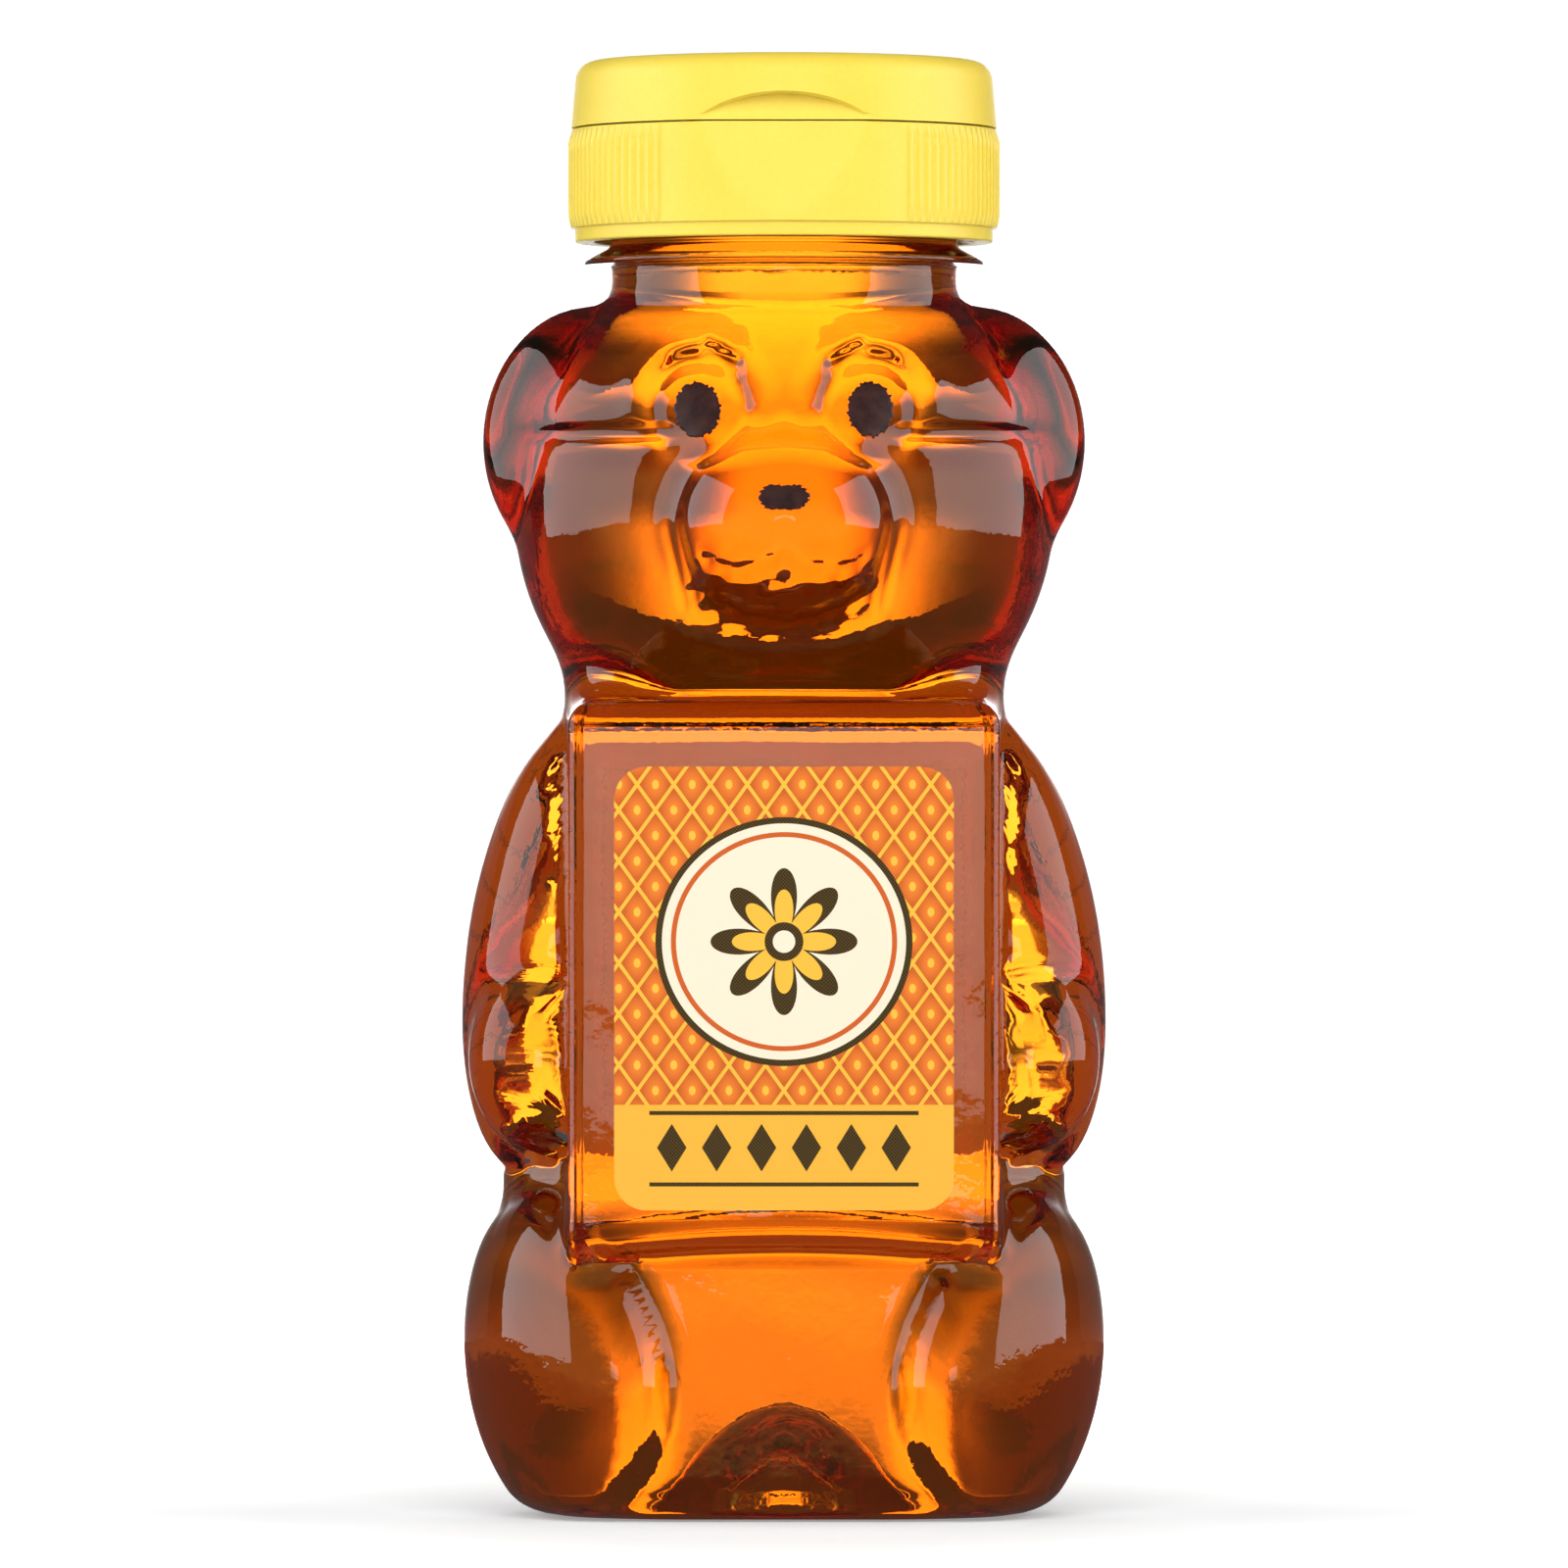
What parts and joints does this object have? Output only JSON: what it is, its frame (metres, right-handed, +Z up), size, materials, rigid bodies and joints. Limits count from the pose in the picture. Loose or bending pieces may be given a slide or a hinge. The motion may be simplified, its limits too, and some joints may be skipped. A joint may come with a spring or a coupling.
{
  "type": "bear-shaped honey bottle",
  "caption": "Clear bear-shaped squeeze bottle full of honey, with a labelled chest panel and a threaded neck closed by a ribbed screw cap with a hinged lid over its spout.",
  "frame": {"origin": "on the table, at the middle of the bounding box", "axes": "+Z up along the neck, -Y the way the bear looks, +X the bear's left side"},
  "size_m": [0.064, 0.0525, 0.1444],
  "materials": {
    "clear_plastic": "polished",
    "honey": "polished",
    "label": "satin",
    "ink": "satin",
    "foil": "satin",
    "liner": "matte",
    "cap_plastic": "satin"
  },
  "bodies": {
    "bottle": {"bottle": "clear_plastic", "honey": "honey", "front_label": "label", "back_label": "label", "left_eye_print": "ink", "right_eye_print": "ink", "nose_print": "ink", "inner_seal": "foil"},
    "liner": {"cap_liner": "liner"},
    "cap": {"cap_base": "cap_plastic", "hinge_web": "cap_plastic"},
    "lid": {"lid": "cap_plastic"}
  },
  "joints": [
    {"name": "cap_lift", "type": "slide", "parent": "bottle", "child": "liner", "axis": [0, 0, 1], "range_m": [0, 0.0043]},
    {"name": "cap_turn", "type": "hinge", "parent": "liner", "child": "cap", "pos_m": [0, 0.00332, 0.1376], "axis": [0, 0, 1], "range_deg": [0, 360]},
    {"name": "lid_hinge", "type": "hinge", "parent": "cap", "child": "lid", "pos_m": [0, 0.02403, 0.13767], "axis": [-1, 0, 0], "range_deg": [0, 160], "deforming": ["hinge_web"]}
  ],
  "couplings": [
    {"joint": "cap_lift", "follows": "cap_turn", "m_per_rad": 0.0006737}
  ]
}
